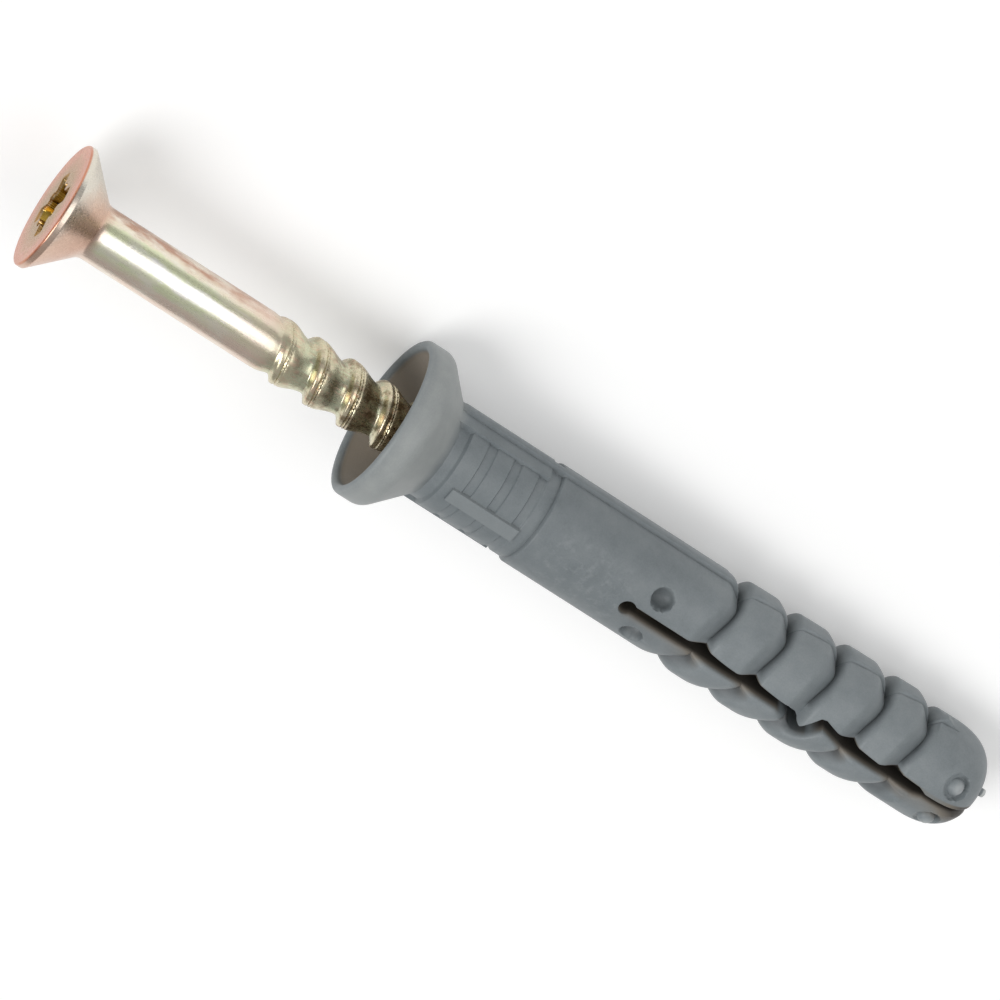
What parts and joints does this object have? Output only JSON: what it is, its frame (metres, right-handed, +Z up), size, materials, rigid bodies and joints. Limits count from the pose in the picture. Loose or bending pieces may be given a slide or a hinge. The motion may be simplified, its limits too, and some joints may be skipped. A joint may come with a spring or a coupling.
{
  "type": "hammer fixing plug",
  "caption": "Hammer-in wall plug: moulded sleeve with countersunk collar, side fins and slotted ribbed halves, holding a part-driven nail screw with a cross recess.",
  "frame": {"origin": "middle of the bounding box on the table that the part lies on", "axes": "+X from the nail head to the plug's tip, +Z up with the expansion slot facing up; the plug's axis dips by about 2.7 degrees towards the tip, because the part rests on its collar and on the two lower studs of its nose"},
  "size_m": [0.0618, 0.0096, 0.0096],
  "materials": {
    "grey_nylon": "moulded mid-grey nylon, satin to matt",
    "yellow_zinc_steel": "yellow-passivated zinc plating with a faint iridescence"
  },
  "bodies": {
    "sleeve": {"plug_sleeve": "grey_nylon"},
    "nail": {"nail_screw": "yellow_zinc_steel"}
  },
  "joints": [
    {"name": "nail_drive", "type": "slide", "parent": "sleeve", "child": "nail", "axis": [0.9989, 0, -0.0475], "range_m": [0, 0.0215], "deforming": ["plug_sleeve"]}
  ]
}
